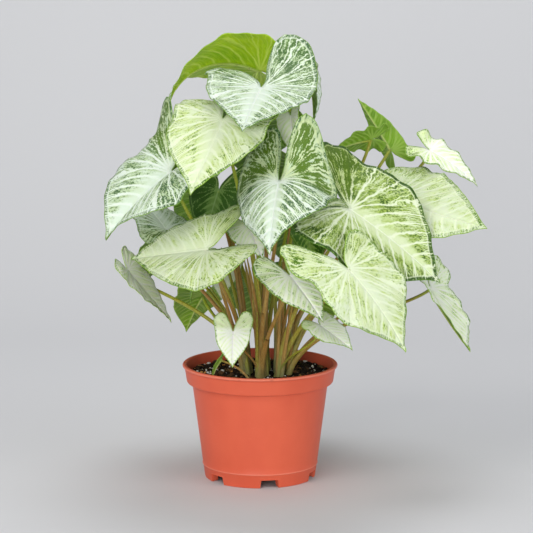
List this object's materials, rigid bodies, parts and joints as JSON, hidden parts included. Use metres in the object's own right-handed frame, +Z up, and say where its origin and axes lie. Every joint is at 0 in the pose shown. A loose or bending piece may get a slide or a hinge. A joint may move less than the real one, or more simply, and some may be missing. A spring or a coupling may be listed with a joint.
{
  "type": "potted arrowhead plant",
  "caption": "Bushy arrowhead plant with pale variegated arrow-shaped leaves on long stalks, in a tapered plastic nursery pot with a rim band and drain notches.",
  "frame": {"origin": "centre of the whole plant's bounding box, on the surface that the pot stands on; the pot's axis is 27 mm to -X and 1 mm to -Y of it", "axes": "+Z up along the pot's axis, the plant's longest extent; -Y is the side the picture looks at, +X is to its right"},
  "size_m": [0.2875, 0.3177, 0.3432],
  "materials": {
    "pot_plastic": "satin",
    "soil": "matte",
    "stem": "satin",
    "leaf": "satin"
  },
  "bodies": {
    "root": {"pot": "pot_plastic", "soil": "soil", "shoot_1": "stem", "shoot_2": "stem", "shoot_3": "stem", "shoot_4": "stem", "shoot_5": "stem", "shoot_6": "stem", "shoot_7": "stem", "shoot_8": "stem", "shoot_9": "stem", "shoot_10": "stem", "shoot_11": "stem", "leaf_top_front": "leaf", "leaf_upper_left": "leaf", "leaf_left": "leaf", "leaf_centre": "leaf", "leaf_right_big": "leaf", "leaf_low_right": "leaf", "leaf_low_centre": "leaf", "leaf_mid_left": "leaf", "leaf_low_left": "leaf", "leaf_far_right": "leaf", "leaf_right_droop": "leaf", "leaf_top_left": "leaf", "leaf_tiny_left": "leaf", "leaf_small_right": "leaf", "leaf_seedling": "leaf", "leaf_behind_left": "leaf", "leaf_top_sliver": "leaf", "leaf_standing": "leaf", "leaf_wavy_green": "leaf", "leaf_white_droop": "leaf", "leaf_inner_pale": "leaf", "leaf_low_pale": "leaf", "leaf_low_green": "leaf", "leaf_inner_white": "leaf", "leaf_inner_left": "leaf", "leaf_inner_right": "leaf", "leaf_back_1": "leaf", "leaf_back_2": "leaf", "leaf_back_3": "leaf", "leaf_back_4": "leaf", "leaf_back_5": "leaf", "leaf_back_6": "leaf", "leaf_back_7": "leaf", "leaf_back_8": "leaf", "leaf_back_9": "leaf", "leaf_back_10": "leaf", "leaf_back_11": "leaf"}
  },
  "joints": []
}
